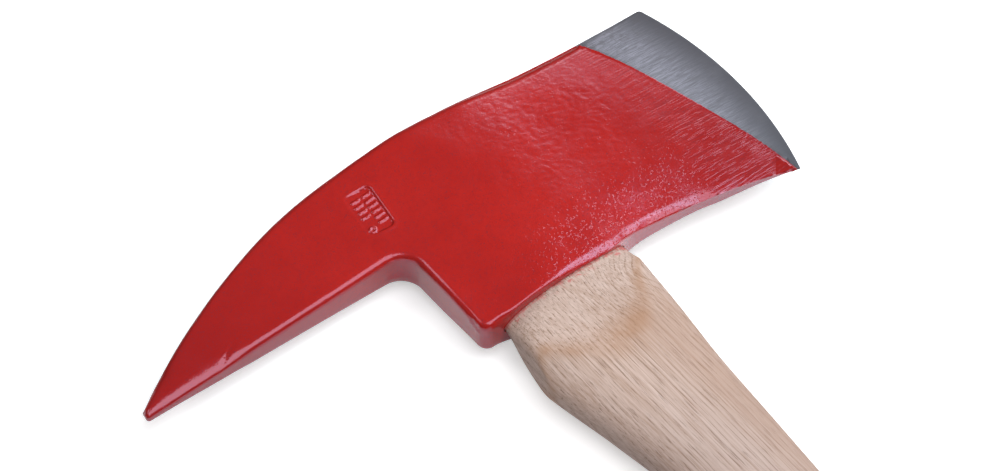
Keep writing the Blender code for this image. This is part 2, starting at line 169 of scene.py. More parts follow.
# y, how far the chamfer stands outside the oval
EYE_LEVELS = [
    (-30.0, 0.6), (-3.8, 0.6), (-2.9, 0.0), (50.0, 0.0),
    (101.3, 0.0), (102.9, 0.7), (125.0, 0.7),
]

# --------------------------------------------------------- handle and wedges
TENON_TOP_Y = 101.8
TOP_Y = MOUTH_Y + TENON_TOP_Y
FACE_Y = MOUTH_Y + MOUTH_FACE
FIT_GAP = 0.3
# world y, back (-x) and front (+x) of the section, half thickness, oval's power
HANDLE = [
    (0.0, -22.5, 22.5, 14.6, 2.25), (12.0, -22.8, 25.6, 15.4, 2.25),
    (28.0, -21.6, 27.4, 15.6, 2.2), (52.0, -18.8, 24.6, 14.6, 2.15),
    (85.0, -17.4, 19.6, 13.2, 2.1), (130.0, -18.2, 16.0, 12.4, 2.1),
    (200.0, -21.2, 12.8, 12.0, 2.1), (290.0, -24.8, 10.6, 11.8, 2.1),
    (390.0, -27.0, 9.8, 12.0, 2.15), (490.0, -27.2, 11.0, 12.4, 2.2),
    (580.0, -25.4, 15.2, 13.0, 2.25), (650.0, -26.6, 19.8, 13.6, 2.35),
    (704.0, -28.3, 23.8, 14.2, 2.5), (735.0, -32.7, 26.2, 14.5, 2.6),
    (769.5, -39.4, 30.6, 14.6, 2.6), (811.0, -45.0, 35.0, 14.8, 2.5),
]
# growth of the shoulder cut per mm below the head: in z, at the back, at the front
SHOULDER_GROW = 0.132
SHOULDER_BACK = 0.148
SHOULDER_FRONT = 0.035
SHOULDER_SQUARE = 3.6
BUTT_ROUND = 3.0
BUTT_LEVELS = [0.0, 0.08, 0.25, 0.6, 1.1, 1.7, 2.3, BUTT_ROUND]
# rings above the butt: stop y, spacing
HANDLE_SPACING = [(MOUTH_Y - 132, 3.2), (MOUTH_Y - 70, 1.8), (FACE_Y - 1.2, 0.9)]
KERF_DEPTH = 66.0
KERF_TOP, KERF_FOOT = 2.6, 0.7
KERF_HALF_WIDTH = 60.0
WEDGE_DEPTH = 60.0
WEDGE_HALF_WIDTH = 34.2
WEDGE_BEVEL = 0.22
CROSS_X = (-15.0, 15.0)
CROSS_DEPTH = 20.0
CROSS_HALF_Z = 6.8
CROSS_TOP, CROSS_FOOT = 1.5, 0.4


# ------------------------------------------------------------------- small maths
def hermite(share, start, leave, end, arrive):
    """Cubic from start to end; leave and arrive are its end tangents."""
    return (
        start * (2 * share**3 - 3 * share**2 + 1)
        + leave * (share**3 - 2 * share**2 + share)
        + end * (3 * share**2 - 2 * share**3)
        + arrive * (share**3 - share**2)
    )


def station(table, at, column):
    """A column of a table at a place in its first column, without overshoot."""
    xs = [row[0] for row in table]
    ys = [row[column] for row in table]
    if at <= xs[0]:
        return ys[0]
    if at >= xs[-1]:
        return ys[-1]
    rise = [(ys[k + 1] - ys[k]) / (xs[k + 1] - xs[k]) for k in range(len(xs) - 1)]

    def tangent(k):
        if k == 0 or k == len(xs) - 1:
            return rise[min(k, len(rise) - 1)]
        before, after = rise[k - 1], rise[k]
        if before * after <= 0:
            return 0.0
        return 2 * before * after / (before + after)

    i = max(k for k in range(len(xs) - 1) if xs[k] <= at)
    step = xs[i + 1] - xs[i]
    share = (at - xs[i]) / step
    return hermite(share, ys[i], tangent(i) * step, ys[i + 1], tangent(i + 1) * step)


def smooth(share):
    share = np.clip(share, 0.0, 1.0)
    return share * share * (3 - 2 * share)


def fade(value, zero_at, one_at):
    """Smooth step from 0 to 1 between two values, rising or falling."""
    return smooth((value - zero_at) / (one_at - zero_at))


def soft_min(first, second, width):
    share = np.clip(0.5 + 0.5 * (second - first) / width, 0.0, 1.0)
    return second + (first - second) * share - width * share * (1 - share)


def spline(points, spacing):
    """Centripetal curve through the points."""
    knots = (
        [2 * Vector(points[0]) - Vector(points[1])]
        + [Vector(p) for p in points]
        + [2 * Vector(points[-1]) - Vector(points[-2])]
    )
    curve = []
    for before, start, end, after in zip(knots, knots[1:], knots[2:], knots[3:]):
        count = max(1, round((end - start).length / spacing))
        gap_in = (start - before).length ** 0.5
        gap = (end - start).length ** 0.5
        gap_out = (after - end).length ** 0.5
        chord = (end - start) / gap
        leave = ((start - before) / gap_in - (end - before) / (gap_in + gap) + chord) * gap
        arrive = (chord - (after - start) / (gap + gap_out) + (after - end) / gap_out) * gap
        curve += [hermite(k / count, start, leave, end, arrive) for k in range(count)]
    return curve + [Vector(points[-1])]


def fillet(before, corner, after, radius, steps):
    before, corner, after = Vector(before), Vector(corner), Vector(after)
    back, ahead = (before - corner).normalized(), (after - corner).normalized()
    half = back.angle(ahead) / 2
    reach = radius / math.tan(half)
    centre = corner + (back + ahead).normalized() * radius / math.sin(half)
    first = corner + back * reach - centre
    last = corner + ahead * reach - centre
    sweep = first.angle(last)
    return [
        centre
        + (first * math.sin(sweep * (1 - k / steps)) + last * math.sin(sweep * k / steps))
        / math.sin(sweep)
        for k in range(steps + 1)
    ]


def between(start, end):
    """Evenly spaced points of a straight outline side, without its ends."""
    start, end = Vector(start), Vector(end)
    count = max(1, round((end - start).length / OUTLINE_STEP))
    return [start.lerp(end, k / count) for k in range(1, count)]


def hash_cells(cells, seed):
    x, y, z = cells.astype(np.uint32).T
    bits = (
        x * np.uint32(374761393)
        + y * np.uint32(668265263)
        + z * np.uint32(2147483647)
        + np.uint32(seed) * np.uint32(362437)
    )
    bits = (bits ^ (bits >> np.uint32(13))) * np.uint32(1274126177)
    bits = (bits ^ (bits >> np.uint32(16))) * np.uint32(2246822519)
    return bits ^ (bits >> np.uint32(15))


def noise(points, size, seed):
    """Gradient noise in about -1 to 1, with lumps about `size` millimetres wide."""
    scaled = np.asarray(points, float) / np.asarray(size, float) + 1000.0
    cell = np.floor(scaled).astype(np.int64)
    inner = scaled - cell
    ease = inner * inner * inner * (inner * (inner * 6 - 15) + 10)
    total = np.zeros(len(scaled))
    for corner in np.ndindex(2, 2, 2):
        bits = hash_cells(cell + corner, seed)
        turn = (bits & np.uint32(1023)) / 1024.0 * 2 * math.pi
        tall = ((bits >> np.uint32(10)) & np.uint32(1023)) / 511.5 - 1
        flat = np.sqrt(np.maximum(0, 1 - tall * tall))
        x, y, z = (inner - corner).T
        slope = flat * np.cos(turn) * x + flat * np.sin(turn) * y + tall * z
        total += np.where(corner, ease, 1 - ease).prod(axis=1) * slope
    return total * 1.5


# ---------------------------------------------------------------- mesh plumbing
def link(name, data):
    obj = bpy.data.objects.new(name, data)
    bpy.context.scene.collection.objects.link(obj)
    return obj


def mesh_object(name, verts, faces, origin_y=0.0):
    """A new object at the world's origin from millimetre vertices."""
    coords = np.asarray(verts, float).copy()
    coords[:, 1] += origin_y
    coords *= MM
    mesh = bpy.data.meshes.new(name)
    mesh.from_pydata(coords.tolist(), [], faces)
    mesh.validate()
    return link(name, mesh)


def vertex_normals(verts, tris):
    first = verts[tris[:, 0]]
    facing = np.cross(verts[tris[:, 1]] - first, verts[tris[:, 2]] - first)
    out = np.zeros_like(verts)
    for k in range(3):
        for axis in range(3):
            out[:, axis] += np.bincount(tris[:, k], facing[:, axis], len(verts))
    return out / np.maximum(1e-12, np.linalg.norm(out, axis=1))[:, None]


def tube_quads(rows, around):
    quads = []
    for j in range(rows - 1):
        for k in range(around):
            here, beside = j * around + k, j * around + (k + 1) % around
            quads.append((here, beside, beside + around, here + around))
    return quads


def outward(obj):
    mesh = bmesh.new()
    mesh.from_mesh(obj.data)
    bmesh.ops.recalc_face_normals(mesh, faces=mesh.faces)
    mesh.to_mesh(obj.data)
    mesh.free()


def cut_away(obj, cutter):
    mod = obj.modifiers.new("cut", "BOOLEAN")
    mod.operation, mod.solver, mod.object = "DIFFERENCE", "EXACT", cutter
    depsgraph = bpy.context.evaluated_depsgraph_get()
    mesh = bpy.data.meshes.new_from_object(obj.evaluated_get(depsgraph))
    obj.modifiers.clear()
    old, obj.data = obj.data, mesh
    mesh.name = obj.name
    bpy.data.meshes.remove(old)
    bpy.data.objects.remove(cutter)


def move_vertices(obj, change):
    """Replaces the vertex coordinates, in metres, by what `change` makes of them."""
    vertices = obj.data.vertices
    coords = np.zeros(len(vertices) * 3)
    vertices.foreach_get("co", coords)
    vertices.foreach_set("co", change(coords.reshape(-1, 3)).ravel())
    obj.data.update()


def dress(obj, material, sharp_deg):
    obj.data.materials.append(material)
    obj.data.shade_smooth()
    obj.data.set_sharp_from_angle(angle=math.radians(sharp_deg))


# ------------------------------------------------------------------- head plan
def head_outline():
    """The closed outline from the pick over the crown, bit, beard and lug."""
    toe, heel, centre = Vector(CROWN_LINE[-1]), Vector(HEEL), Vector(BIT_CENTRE)

    def bit_angle(point):
        return math.atan2(point.y - centre.y, point.x - centre.x)

    def bit_point(angle):
        return centre + Vector((math.cos(angle), math.sin(angle))) * BIT_RADIUS

    # the toe's corner is dressed round
    below_toe = bit_point(bit_angle(toe) - 0.03)
    corner = fillet(CROWN_LINE[-2], toe, below_toe, TOE_R, 6)
    points = spline(CROWN_LINE[:-1] + [tuple(corner[0])], OUTLINE_STEP)[:-1] + corner
    start, finish = bit_angle(corner[-1]), bit_angle(heel)
    steps = round(abs(finish - start) * BIT_RADIUS / OUTLINE_STEP)
    points += [bit_point(start + (finish - start) * k / steps) for k in range(1, steps)]
    points += spline(BEARD_LINE, OUTLINE_STEP)
    corner = fillet(BEARD_LINE[-1], LUG_FOOT, PICK_ROOT, LUG_CORNER_R, 10)
    points += between(BEARD_LINE[-1], corner[0]) + corner
    notch = fillet(LUG_FOOT, PICK_ROOT, PICK_TIP, NOTCH_R, 16)
    points += between(corner[-1], notch[0]) + notch
    tip = fillet(PICK_ROOT, PICK_TIP, CROWN_LINE[0], PICK_TIP_R, 6)
    points += between(notch[-1], tip[0]) + tip
    return np.array([(p.x, p.y) for p in points])


def rim_distance(points, outline):
    """Distance of many points to the closed outline."""
    sides = np.roll(outline, -1, axis=0) - outline
    best = np.full(len(points), 1e9)
    # in batches, to keep the arrays small
    for start in range(0, len(points), 4000):
        batch = points[start : start + 4000]
        offset = batch[:, None, :] - outline[None]
        share = np.clip((offset * sides).sum(-1) / (sides * sides).sum(-1), 0, 1)
        gap = offset - share[..., None] * sides
        best[start : start + 4000] = np.sqrt((gap * gap).sum(-1)).min(1)
    return best


def inside(points, outline):
    hit = np.zeros(len(points), bool)
    for start, end in zip(outline, np.roll(outline, -1, axis=0)):
        if start[1] == end[1]:
            continue
        cross = (start[1] > points[:, 1]) != (end[1] > points[:, 1])
        share = (points[:, 1] - start[1]) / (end[1] - start[1])
        hit ^= cross & (points[:, 0] < share * (end[0] - start[0]) + start[0])
    return hit


def panel_axes(points):
    """Across and up coordinates of head points in the panel's tilted frame."""
    cos, sin = math.cos(PANEL_TILT), math.sin(PANEL_TILT)
    x, y = (points - PANEL_C).T
    return x * cos + y * sin, -x * sin + y * cos


def plan_points(outline):
    """The outline, rings close inside it, an even grid and a fine grid at the panel."""
    along = np.roll(outline, -1, axis=0) - np.roll(outline, 1, axis=0)
    along /= np.linalg.norm(along, axis=1)[:, None]
    inward = np.stack([along[:, 1], -along[:, 0]], axis=1)
    points = [outline]
    for depth in RING_DEPTHS:
        ring = outline + inward * depth
        keep = inside(ring, outline) & (rim_distance(ring, outline) > 0.97 * depth)
        points.append(ring[keep])

    step = 0.95
    columns = np.arange(-180, 137, step)
    rows = np.arange(-18, 105, step * 0.866)
    grid = np.array(
        [(x + (0.5 * step if j % 2 else 0.0), y) for j, y in enumerate(rows) for x in columns]
    )
    grid = grid[inside(grid, outline)]
    grid = grid[rim_distance(grid, outline) > GRID_INSET]
    across, up = panel_axes(grid)
    near_panel = (np.abs(across) < PANEL_HALF[0] + 2) & (np.abs(up) < PANEL_HALF[1] + 2)

    columns, rows = (np.arange(-half - 1.8, half + 1.9, PANEL_STEP) for half in PANEL_HALF)
    cos, sin = math.cos(PANEL_TILT), math.sin(PANEL_TILT)
    fine = np.array([(x * cos - y * sin, x * sin + y * cos) for x in columns for y in rows])
    fine = fine + PANEL_C
    fine = fine[rim_distance(fine, outline) > GRID_INSET]
    return np.concatenate(points + [grid[~near_panel], fine])


# --------------------------------------------------------------- head surface
SAMPLE_X = np.arange(-180.0, 137.0, 0.25)


def presample(table):
    columns = range(1, len(table[0]))
    return [np.array([station(table, x, k) for x in SAMPLE_X]) for k in columns]


CHEEK_SAMPLES = presample(CHEEK)
FALL_SAMPLES = presample(FALL)


def bit_distance(x, y):
    """Distance in from the cutting edge's arc."""
    return BIT_RADIUS - np.hypot(x - BIT_CENTRE[0], y - BIT_CENTRE[1])


def half_thickness(x, y):
    middle, mouth = (np.interp(x, SAMPLE_X, column) for column in CHEEK_SAMPLES)
    half = mouth + (middle - mouth) * smooth(y / MOUTH_BLEND)
    grind = EDGE_HALF + GRIND_SLOPE * np.maximum(0.0, bit_distance(x, y))
    return soft_min(half, grind, 0.5)


def cheek_z(x, y, distance):
    half = half_thickness(x, y)
    low, fall, height, slow = (np.interp(x, SAMPLE_X, column) for column in FALL_SAMPLES)
    # a long gentle thinning towards the rim, then a short steeper lip
    left = 1 - np.clip((y - low) / SLOW_HEIGHT, 0, 1)
    half = half - np.minimum(slow, 0.6 * half) * left**SLOW_POWER
    left = 1 - np.clip((y - low) / height, 0, 1)
    half = half - np.minimum(fall, 0.8 * half) * left**FALL_POWER
    crisp = fade(x, -42, -28) * fade(y, 34, 18)
    # the pick's underside edge is rounder towards its tip
    pick = fade(x, -124, -140) * fade(y, 74, 60)
    crown = fade(x, -110, -50) * fade(x, 104, 84) * fade(y, 76, 90)
    wide = ROUNDOVER + (CRISP - ROUNDOVER) * crisp
    wide = wide + PICK_EXTRA_ROUND * pick + CROWN_EXTRA_ROUND * crown
    wide = np.minimum(wide, 1.6 * half)
    deep = np.minimum(ROUNDOVER_Z + (CRISP - ROUNDOVER_Z) * crisp, 0.75 * half)
    share = np.clip(1 - distance / wide, 0, 1)
    return half - deep * (1 - np.sqrt(np.maximum(0, 1 - share * share)))


def panel_height(points):
    """Recessed panel with a raised rim, two columns of ribs and a ring-shaped stud."""
    across, up = panel_axes(points)
    past_x = np.abs(across) - PANEL_HALF[0] + PANEL_CORNER_R
    past_y = np.abs(up) - PANEL_HALF[1] + PANEL_CORNER_R
    edge = np.hypot(np.maximum(past_x, 0), np.maximum(past_y, 0)) - PANEL_CORNER_R
    edge += np.minimum(np.maximum(past_x, past_y), 0)
    recess = fade(edge, 0, -0.9)
    # the die bit deeper towards the blade, and hardly at all on the other side
    bite = smooth((across + PANEL_HALF[0] + 1.0) / (1.7 * PANEL_HALF[0]))
    height = -(0.10 + 0.62 * bite) * recess
    rim = np.exp(-((edge - 0.8) ** 2) / 0.8)
    height += (0.05 + 0.16 * bite) * rim
    cos, sin = math.cos(RIB_TURN), math.sin(RIB_TURN)
    for half_length, centres in PANEL_RIBS:
        for rib_across, rib_up in centres:
            x, y = across - rib_across, up - rib_up
            past_end = np.maximum(np.abs(x * cos + y * sin) - half_length, 0)
            far = np.hypot(past_end, np.abs(-x * sin + y * cos))
            height += 0.58 * fade(far, 1.05, 0.30) * recess
    stud = np.hypot(across + 3.4, up + 9.6)
    height += 0.50 * np.exp(-(((stud - 1.3) / 0.55) ** 2))
    return height


def head_relief(points, normal):
    """How far the forged, painted surface stands off its smooth form."""
    x, y, _ = points.T
    tilt = np.abs(normal[:, 2])
    bare = fade(x - np.polyval(PAINT_LINE, y / 100.0), -0.5, 0.5)
    cheek = fade(tilt, 0.35, 0.75)
    # broad unevenness left by the hammer, and the blade's gentle crown
    out = 0.13 * noise(points, size=34, seed=1)
    out += 0.055 * noise(points, size=15, seed=2)
    out += 0.026 * noise(points, size=7, seed=3)
    out -= 0.85 * fade(x, 14, 50) * ((y - 48) / 50) ** 2 * cheek * (1 - bare)
    # forge scale: a leathery field over the eye and the inner blade
    field = np.exp(-((((x - 36) / 46) ** 2 + ((y - 60) / 36) ** 2) ** 2))
    patches = noise(points, size=24, seed=5) + 0.5 * noise(points, size=12, seed=22)
    field = np.clip(field * (0.75 + 0.6 * patches), 0, 1) * cheek
    sway = [noise(points, size=6, seed=11), noise(points, size=6, seed=12)]
    warped = points + 1.3 * np.stack(sway + [np.zeros(len(points))], axis=1)
    lumps = np.abs(noise(warped * np.array((1.0, 1.25, 0.6)), size=4.4, seed=21))
    out -= 0.105 * field * fade(lumps, 0.30, 0)
    out += 0.055 * field * noise(points, size=3.0, seed=31)
    # pocks and coarse peel on the lower blade and along the mouth
    low = fade(y, 34, 4) * fade(x, -26, 4) * fade(x, 88, 76)
    out += 0.030 * low * noise(points, size=3.0, seed=41) * cheek
    out += 0.020 * low * noise(points, size=1.9, seed=42) * cheek
    # fine peel all over, and faint dressing marks on the smoother pick
    out += 0.014 * noise(points, size=2.4, seed=44) * cheek
    pick = fade(x, -120, -134) * cheek
    out += 0.035 * pick * noise(points, size=(3.6, 1.8, 3.6), seed=45)
    # coarse grinding towards the bit, under the paint
    grind = fade(x, 78, 92) * cheek
    out += 0.018 * grind * noise(points, size=(26.0, 1.5, 26.0), seed=51)
    # hammer-broken edges on the pick's underside and the lug
    rough = fade(np.abs(tilt - 0.75), 0.25, 0) * fade(x, 40, 20)
    out += 0.10 * rough * noise(points, size=5.0, seed=61)
    out += 0.05 * rough * noise(points, size=2.1, seed=62)
    return out * (1 - 0.85 * bare)


def head_lift(verts, normal):
    """Forged relief, stamped panel and enamel flaws, along the normals."""
    x, y, z = verts.T
    lift = head_relief(verts, normal)
    is_top = z > 2.0
    lift[is_top] += panel_height(verts[is_top, :2])
    for *centre, radius, height in FLAWS:
        lift += height * np.exp(-((verts - centre) ** 2).sum(1) / radius**2)
    # slanting groove on the pick's upper cheek
    fold = np.abs(x + 137.5 - 1.6 * (y - 54.0))
    groove = np.exp(-((fold / 1.3) ** 2)) * fade(y, 62, 56) * fade(y, 52.4, 53.9)
    lift -= 0.30 * groove * (z > 0)
    # the edges stay true where pieces meet or rest
    still = np.maximum(fade(np.abs(x), 37, 42), fade(np.abs(y - 49), 48, 42))
    lift *= np.where(np.abs(normal[:, 2]) < 0.3, 0.25 + 0.6 * still, 1.0)
    return lift * fade(bit_distance(x, y), 0, 3)


# ------------------------------------------------------------------- head mesh
def head_plan(outline):
    """Triangulated plan: its points, its triangles and the outline's indices."""
    count = len(outline)
    rim = [(k, (k + 1) % count) for k in range(count)]
    flat = [Vector(p) for p in plan_points(outline)]
    points, _, faces, origins, _, _ = delaunay_2d_cdt(flat, rim, [list(range(count))], 1, 1e-5)
    plan = np.array([(p.x, p.y) for p in points])
    where = {source: k for k, sources in enumerate(origins) for source in sources}
    tris = np.array([f for f in faces if len(f) == 3])
    first = plan[tris[:, 0]]
    side, other = plan[tris[:, 1]] - first, plan[tris[:, 2]] - first
    area = side[:, 0] * other[:, 1] - side[:, 1] * other[:, 0]
    tris[area < 0] = tris[area < 0][:, ::-1]
    return plan, tris, [where[k] for k in range(count)]


def head_solid():
    """Two cheeks from the plan, joined by a wall of rows round the rim."""
    outline = head_outline()
    count = len(outline)
    plan, tris, rim = head_plan(outline)
    distance = rim_distance(plan, outline)
    distance[rim] = 0.0
    z = cheek_z(plan[:, 0], plan[:, 1], distance)
    layers = [np.column_stack([plan, z]), np.column_stack([plan, -z])]
    for j in range(1, WALL_ROWS):
        layers.append(np.column_stack([outline, z[rim] * (1 - 2 * j / WALL_ROWS)]))

    def index(j, k):
        if j == 0:
            return rim[k]
        if j == WALL_ROWS:
            return len(plan) + rim[k]
        return 2 * len(plan) + (j - 1) * count + k

    wall = []
    for j in range(WALL_ROWS):
        for k in range(count):
            beside = (k + 1) % count
            low = index(j + 1, beside)
            wall.append((index(j, k), index(j, beside), low))
            wall.append((index(j, k), low, index(j + 1, k)))
    faces = np.concatenate([tris, tris[:, ::-1] + len(plan), np.array(wall)])
    return np.concatenate(layers), faces


def eye_half(y):
    """Half width and half thickness of the eye at a head height."""
    share = y / CROWN_Y
    return [mouth + (crown - mouth) * share for mouth, crown in zip(EYE_MOUTH, EYE_CROWN)]


def eye_cutter():
    """Oval plug with a small chamfer at both mouths."""
    verts = []
    for y, flare in EYE_LEVELS:
        wide, thick = eye_half(np.clip(y, 0, CROWN_Y))
        for k in range(EYE_AROUND):
            turn = 2 * math.pi * k / EYE_AROUND
            x, z = (wide + flare) * math.cos(turn), -(thick + flare) * math.sin(turn)
            verts.append((x, y, z))
    faces = tube_quads(len(EYE_LEVELS), EYE_AROUND)
    faces.append(list(range(EYE_AROUND))[::-1])
    faces.append([(len(EYE_LEVELS) - 1) * EYE_AROUND + k for k in range(EYE_AROUND)])
    cutter = mesh_object("eye", verts, faces, MOUTH_Y)
    outward(cutter)
    return cutter


def build_head():
    verts, faces = head_solid()
    normal = vertex_normals(verts, faces)
    verts = verts + normal * head_lift(verts, normal)[:, None]
    head = mesh_object("fire_axe_head", verts, faces.tolist(), MOUTH_Y)
    cut_away(head, eye_cutter())
    return head


# ----------------------------------------------------------------- the handle
def oval_reach(ray_x, ray_z, back, front, thick, power):
    wide = np.where(ray_x > 0, front, -back)
    reach = (np.abs(ray_x) / wide) ** power + (np.abs(ray_z) / thick) ** power
    return reach ** (-1.0 / power)


def tenon_half(y):
    return [half - FIT_GAP for half in eye_half(y)]


def handle_ring(y, turn):
    """Section of the handle at world y: x, z and how near the shoulder's ridge."""
    above = y - MOUTH_Y - MOUTH_FACE
    ridge = np.zeros(len(turn))
    if above >= 0:
        wide, thick = tenon_half(y - MOUTH_Y)
        return wide * np.cos(turn), thick * np.sin(turn), ridge
    back, front, thick, power = (station(HANDLE, y, k) for k in range(1, 5))
    axis, half = (back + front) / 2, (front - back) / 2
    axis *= float(fade(above, 0, -12))
    ray_x, ray_z = half * np.cos(turn), thick * np.sin(turn)
    length = np.hypot(ray_x, ray_z)
    ray_x, ray_z = ray_x / length, ray_z / length
    body = oval_reach(ray_x, ray_z, back - axis, front - axis, thick, power)
    # the shoulder is cut to the eye's oval, growing and squaring away from the head
    wide, thin = tenon_half(MOUTH_FACE)
    cut = oval_reach(
        ray_x,
        ray_z,
        -wide + SHOULDER_BACK * above - axis,
        wide - SHOULDER_FRONT * above - axis,
        thin - SHOULDER_GROW * above,
        2.0 + SHOULDER_SQUARE * float(fade(above, 0, -22)),
    )
    reach = soft_min(body, cut, 0.35)
    if above > -75:
        ridge = np.exp(-(((body - cut - 0.4) / 1.3) ** 2))
    if y < BUTT_ROUND:
        share = 1 - y / BUTT_ROUND
        reach = reach - BUTT_ROUND * (1 - math.sqrt(max(0.0, 1 - share * share)))
    return axis + ray_x * reach, ray_z * reach, ridge


def build_handle():
    around = 168
    levels = list(BUTT_LEVELS)
    y = 5.0
    for stop, spacing in HANDLE_SPACING:
        while y < stop:
            levels.append(y)
            y += spacing
    levels += [FACE_Y + rise for rise in (-0.5, 0.0, 2.0, 4.0)]
    levels += [MOUTH_Y + rise for rise in (30.0, 66.0, 96.0)]
    levels += [TOP_Y - 0.5, TOP_Y]
    turn = 2 * math.pi * (np.arange(around) + 0.5) / around
    verts, ridge = [], []
    for y in levels:
        x, z, near_ridge = handle_ring(y, turn)
        # a small chamfer round the tenon's top
        if y > TOP_Y - 0.1:
            x, z = x - 0.4 * np.cos(turn), z - 0.4 * np.sin(turn)
        verts.append(np.column_stack([x, np.full(around, y), z]))
        ridge.append(near_ridge)
    verts, ridge = np.concatenate(verts), np.concatenate(ridge)
    quads = tube_quads(len(levels), around)
    top = [(len(levels) - 1) * around + k for k in range(around)][::-1]
    # hand-sanded unevenness, none where the handle is in the eye or on its butt
    normal = vertex_normals(verts, np.array(quads)[:, [0, 2, 1]])
    free = fade(verts[:, 1], FACE_Y - 3, FACE_Y - 15) * fade(verts[:, 1], 2, 10)
    sand = 0.16 * noise(verts, size=(26, 60, 26), seed=61)
    sand += 0.05 * noise(verts, size=(9, 30, 9), seed=62)
    verts = verts + normal * (sand * free)[:, None]
    handle = mesh_object("wooden_handle", verts, quads + [list(range(around)), top])
    mark = handle.data.attributes.new("ridge", "FLOAT", "POINT")
    mark.data.foreach_set("value", ridge.astype(np.float32))
    outward(handle)
    return handle


# ----------------------------------------------------------------- the wedges
def taper(name, x, half_x, half_z, depth, grow=0.0, above=0.0, cuts=0):
    """Block narrowing down from the tenon's top; half sizes are (top, foot).

    `grow` enlarges it, `above` carries its taper past the top, and `cuts` bevels
    and subdivides it.
    """
    block = bmesh.new()
    bmesh.ops.create_cube(block, size=2.0)
    for v in block.verts:
        share = -above / depth if v.co.y > 0 else 1.0 + grow / depth
        wide = half_x[0] + (half_x[1] - half_x[0]) * share + grow
        thick = half_z[0] + (half_z[1] - half_z[0]) * share + grow
        v.co = Vector((x + v.co.x * wide, TOP_Y - share * depth, v.co.z * thick)) * MM
    if cuts:
        bmesh.ops.bevel(
            block,
            geom=block.edges[:],
            offset=WEDGE_BEVEL * MM,
            segments=2,
            profile=0.6,
            affect="EDGES",
        )
        bmesh.ops.subdivide_edges(
            block, edges=block.edges[:], cuts=cuts, use_grid_fill=True
        )
    bmesh.ops.recalc_face_normals(block, faces=block.faces)
    mesh = bpy.data.meshes.new(name)
    block.to_mesh(mesh)
    block.free()
    return link(name, mesh)


def roughen(obj, size, amount, seed):
    """Pushes a block's top face about, as hammering and a saw leave it."""

    def change(coords):
        points = coords / MM
        high = fade(points[:, 1], TOP_Y - 1.2, TOP_Y - 0.2)
        coords[:, 1] -= high * MM * amount * (0.5 + 0.5 * noise(points, size, seed))
        return coords

    move_vertices(obj, change)


def build_wedges(handle):
    """A wooden wedge in a kerf along x, and steel wedges across it."""
    kerf_x = (KERF_HALF_WIDTH, KERF_HALF_WIDTH)
    kerf_z = (KERF_TOP, KERF_FOOT)
    cut_away(handle, taper("kerf", 0.0, kerf_x, kerf_z, KERF_DEPTH, above=6.0))
    wedge_x = (WEDGE_HALF_WIDTH, WEDGE_HALF_WIDTH - 0.4)
    wedge_z = (KERF_TOP - FIT_GAP, KERF_FOOT - FIT_GAP + 0.1)
    wedge = taper("kerf_wedge", 0.0, wedge_x, wedge_z, WEDGE_DEPTH, cuts=12)
    roughen(wedge, size=(2.5, 2.5, 1.2), amount=0.35, seed=71)
    made = []
    for number, x in enumerate(CROSS_X, start=1):
        shape = (x, (CROSS_TOP, CROSS_FOOT), (CROSS_HALF_Z, CROSS_HALF_Z), CROSS_DEPTH)
        for target in (handle, wedge):
            cut_away(target, taper("pocket", *shape, grow=FIT_GAP, above=4.0))
        steel = taper(f"cross_wedge_{number}", *shape, cuts=8)
        roughen(steel, size=(1.6, 1.6, 2.2), amount=0.3, seed=80 + number)
        made.append(steel)
    return wedge, made


# --------------------------------------------------------------- shader writing
class Value:
    """A shader node's output. Arithmetic on it adds Math nodes."""

    def __init__(self, owner, socket):
        self.owner, self.socket = owner, socket

    def output(self, key):
        """Another output of the same node."""
        return Value(self.owner, self.socket.node.outputs[key])

    def __add__(self, other):
        return self.owner.math("ADD", self, other)

    def __radd__(self, other):
        return self.owner.math("ADD", other, self)

    def __sub__(self, other):
        return self.owner.math("SUBTRACT", self, other)

    def __rsub__(self, other):
        return self.owner.math("SUBTRACT", other, self)

    def __mul__(self, other):
        return self.owner.math("MULTIPLY", self, other)

    def __rmul__(self, other):
        return self.owner.math("MULTIPLY", other, self)

    def __pow__(self, power):
        return self.owner.math("POWER", self, power)

    def __abs__(self):
        return self.owner.math("ABSOLUTE", self)

    def ramp(self, start, end, to=(0.0, 1.0)):
        """Smooth step from to[0] at start to to[1] at end."""
        limits = {"From Min": start, "From Max": end, "To Min": to[0], "To Max": to[1]}
        return self.owner.node(
            "ShaderNodeMapRange", {"Value": self, **limits}, interpolation_type="SMOOTHSTEP"
        )


